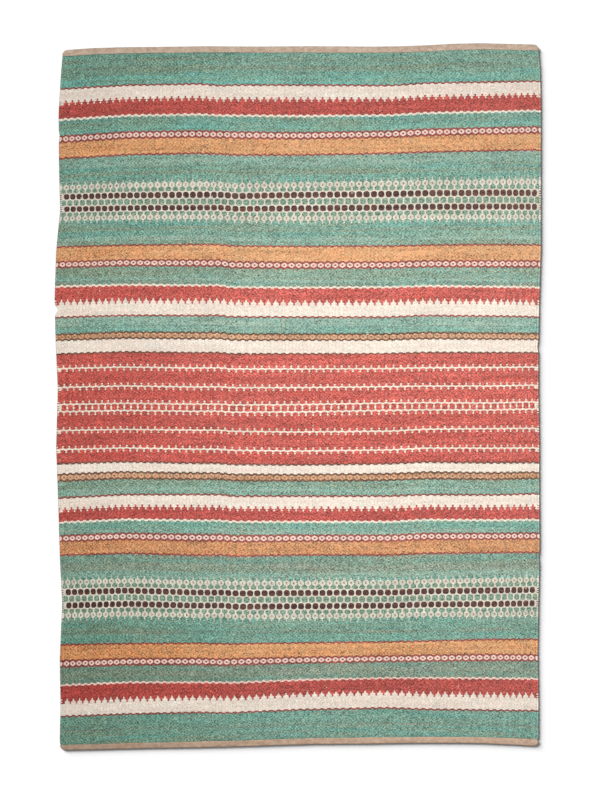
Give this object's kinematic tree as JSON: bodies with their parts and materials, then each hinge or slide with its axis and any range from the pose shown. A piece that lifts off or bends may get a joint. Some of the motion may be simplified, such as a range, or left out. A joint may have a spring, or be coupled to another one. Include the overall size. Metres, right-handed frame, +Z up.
{
  "type": "striped jute kilim rug",
  "caption": "Rectangular flat-woven jute rug with crosswise stripes and small woven repeats, a folded tape sewn over each end, laid flat.",
  "frame": {"origin": "on the floor under the middle of the rug's outline", "axes": "+X across the rug, +Y along it to its head end, +Z up out of its face"},
  "size_m": [1.214, 1.7634, 0.0077],
  "materials": {
    "woven_jute": "matte ribbed flat weave, dyed jute yarn in stripes of sea green, brick red, cream, ochre orange and dark brown",
    "end_tape": "matte tan woven tape, folded and machine stitched"
  },
  "bodies": {
    "root": {"kilim_cloth": "woven_jute", "binding_head": "end_tape", "binding_foot": "end_tape"}
  },
  "joints": []
}
